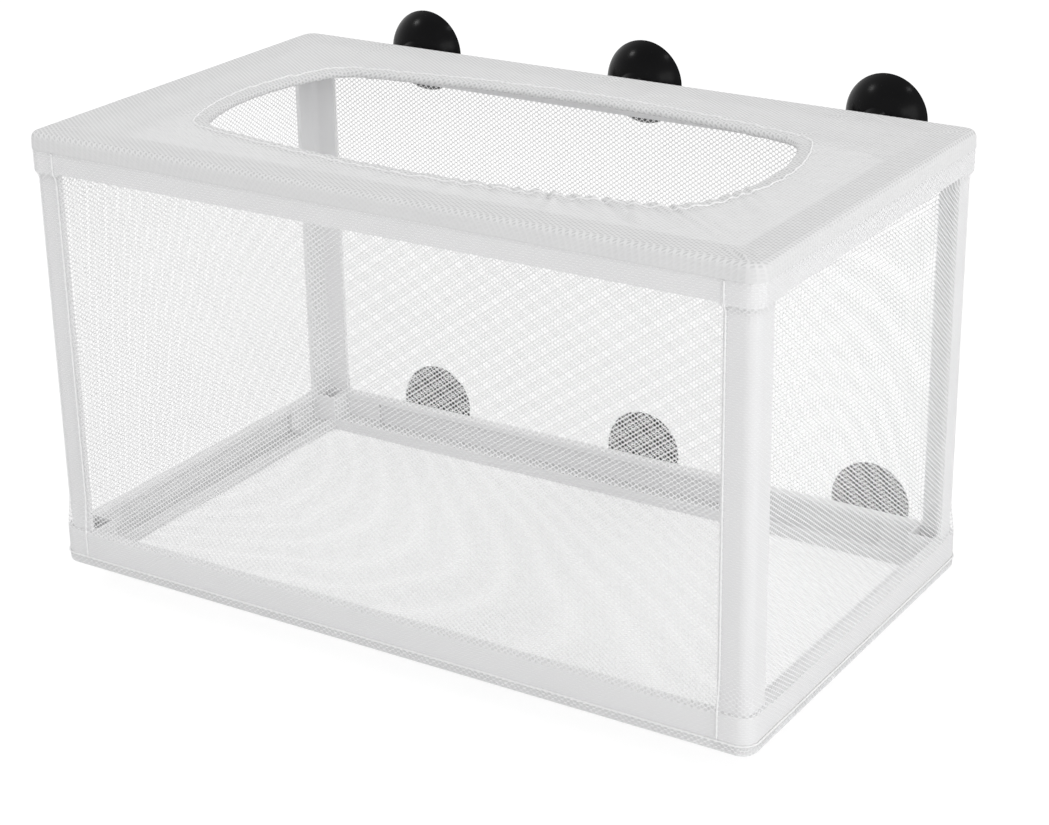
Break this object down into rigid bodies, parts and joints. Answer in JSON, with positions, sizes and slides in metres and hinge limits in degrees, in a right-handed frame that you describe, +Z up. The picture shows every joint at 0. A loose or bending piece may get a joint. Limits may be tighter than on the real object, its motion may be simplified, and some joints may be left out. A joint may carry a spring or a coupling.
{
  "type": "fish breeding box",
  "caption": "Box-shaped net breeder for an aquarium: net bag on a plastic frame, gathered open top, rubber suction cups on the back.",
  "frame": {"origin": "middle of the top middle suction cup's rim, in the plane of the aquarium glass that all six rims lie in", "axes": "+Y towards the glass, out of the back of the box; +X along the length, to the right seen from the front; +Z up"},
  "size_m": [0.26, 0.167, 0.1662],
  "materials": {
    "frame_plastic": "white moulded plastic, satin",
    "net": "white open knitted net, seen through",
    "cover_net": "white net, doubled and gathered",
    "elastic": "white elastic cord",
    "rubber": "black soft rubber, glossy"
  },
  "bodies": {
    "box": {"rail_bottom_front": "frame_plastic", "rail_bottom_back": "frame_plastic", "rail_bottom_left": "frame_plastic", "rail_bottom_right": "frame_plastic", "rail_top_front": "frame_plastic", "rail_top_back": "frame_plastic", "rail_top_left": "frame_plastic", "rail_top_right": "frame_plastic", "post_front_left": "frame_plastic", "post_front_right": "frame_plastic", "post_back_left": "frame_plastic", "post_back_right": "frame_plastic", "corner_bottom_front_left": "frame_plastic", "corner_bottom_front_right": "frame_plastic", "corner_bottom_back_left": "frame_plastic", "corner_bottom_back_right": "frame_plastic", "corner_top_front_left": "frame_plastic", "corner_top_front_right": "frame_plastic", "corner_top_back_left": "frame_plastic", "corner_top_back_right": "frame_plastic", "net_front": "net", "net_back": "net", "net_left": "net", "net_right": "net", "net_floor": "net", "top_cover": "cover_net", "opening_elastic": "elastic"},
    "cup_top_left": {"cup_top_left": "rubber"},
    "cup_top_middle": {"cup_top_middle": "rubber"},
    "cup_top_right": {"cup_top_right": "rubber"},
    "cup_bottom_left": {"cup_bottom_left": "rubber"},
    "cup_bottom_middle": {"cup_bottom_middle": "rubber"},
    "cup_bottom_right": {"cup_bottom_right": "rubber"}
  },
  "joints": [
    {"name": "cup_top_left_turn", "type": "hinge", "parent": "box", "child": "cup_top_left", "pos_m": [-0.09, -0.0175, 0], "axis": [0, 1, 0], "continuous": true},
    {"name": "cup_top_middle_turn", "type": "hinge", "parent": "box", "child": "cup_top_middle", "pos_m": [0, -0.0175, 0], "axis": [0, 1, 0], "continuous": true},
    {"name": "cup_top_right_turn", "type": "hinge", "parent": "box", "child": "cup_top_right", "pos_m": [0.09, -0.0175, 0], "axis": [0, 1, 0], "continuous": true},
    {"name": "cup_bottom_left_turn", "type": "hinge", "parent": "box", "child": "cup_bottom_left", "pos_m": [-0.09, -0.0175, -0.1372], "axis": [0, 1, 0], "continuous": true},
    {"name": "cup_bottom_middle_turn", "type": "hinge", "parent": "box", "child": "cup_bottom_middle", "pos_m": [0, -0.0175, -0.1372], "axis": [0, 1, 0], "continuous": true},
    {"name": "cup_bottom_right_turn", "type": "hinge", "parent": "box", "child": "cup_bottom_right", "pos_m": [0.09, -0.0175, -0.1372], "axis": [0, 1, 0], "continuous": true}
  ]
}
